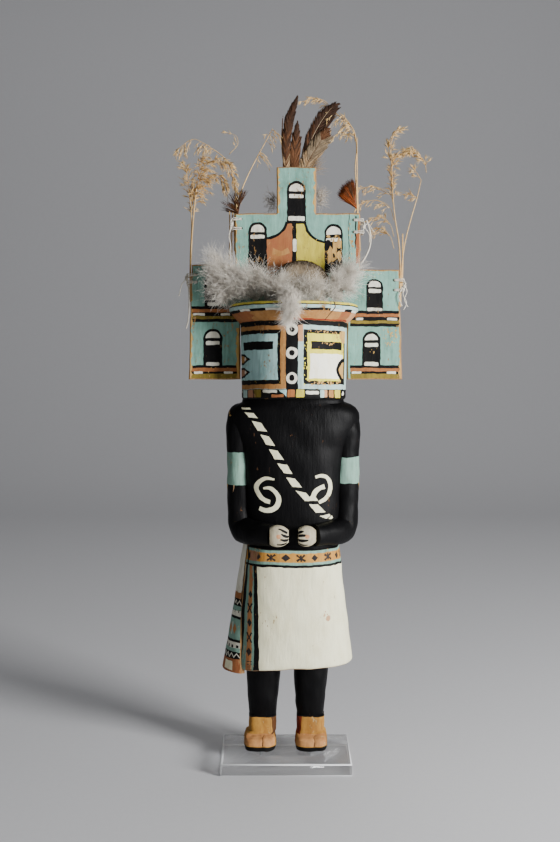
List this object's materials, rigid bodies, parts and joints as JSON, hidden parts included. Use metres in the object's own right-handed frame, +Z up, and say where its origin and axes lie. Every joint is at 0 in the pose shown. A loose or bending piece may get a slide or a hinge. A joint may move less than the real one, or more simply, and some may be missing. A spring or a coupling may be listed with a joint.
{
  "type": "kachina doll on a display base",
  "caption": "Carved and painted wooden kachina doll with stepped tableta, down, feathers and dry grass, standing on a clear base.",
  "frame": {"origin": "middle of the clear base's underside, on the surface it stands on", "axes": "+Z up along the figure, the figure faces -Y, +X to the viewer's right"},
  "size_m": [0.1692, 0.0842, 0.444],
  "materials": {
    "painted_wood": "matt painted cottonwood, black, cream and turquoise, with wear",
    "painted_board": "matt turquoise paint on a thin board, bare at the edges",
    "down": "soft grey and white down",
    "feather_brown": "dark brown feather vanes",
    "feather_rust": "rust brown feather vanes",
    "feather_grey": "grey and tan breast feathers",
    "grass": "dry straw",
    "string": "twisted cotton string",
    "clear_acrylic": "clear polished acrylic",
    "steel_pin": "plain steel wire"
  },
  "bodies": {
    "root": {"carved_figure": "painted_wood", "tableta": "painted_board", "down_tuft": "down", "breast_feather": "feather_grey", "crest_feather_left": "feather_brown", "crest_feather_middle": "feather_brown", "crest_feather_right": "feather_brown", "side_feather_left": "feather_grey", "side_feather_right": "feather_rust", "down_behind_left": "down", "down_behind_right": "down", "grass_outer_left": "grass", "grass_inner_left": "grass", "grass_inner_right": "grass", "grass_outer_right": "grass", "string_tie_outer_left": "string", "string_tie_inner_left": "string", "string_tie_inner_right": "string", "string_tie_outer_right": "string", "string_tail_left": "string", "string_loop_right": "string", "display_base": "clear_acrylic", "base_pin_left": "steel_pin", "base_pin_right": "steel_pin"}
  },
  "joints": []
}
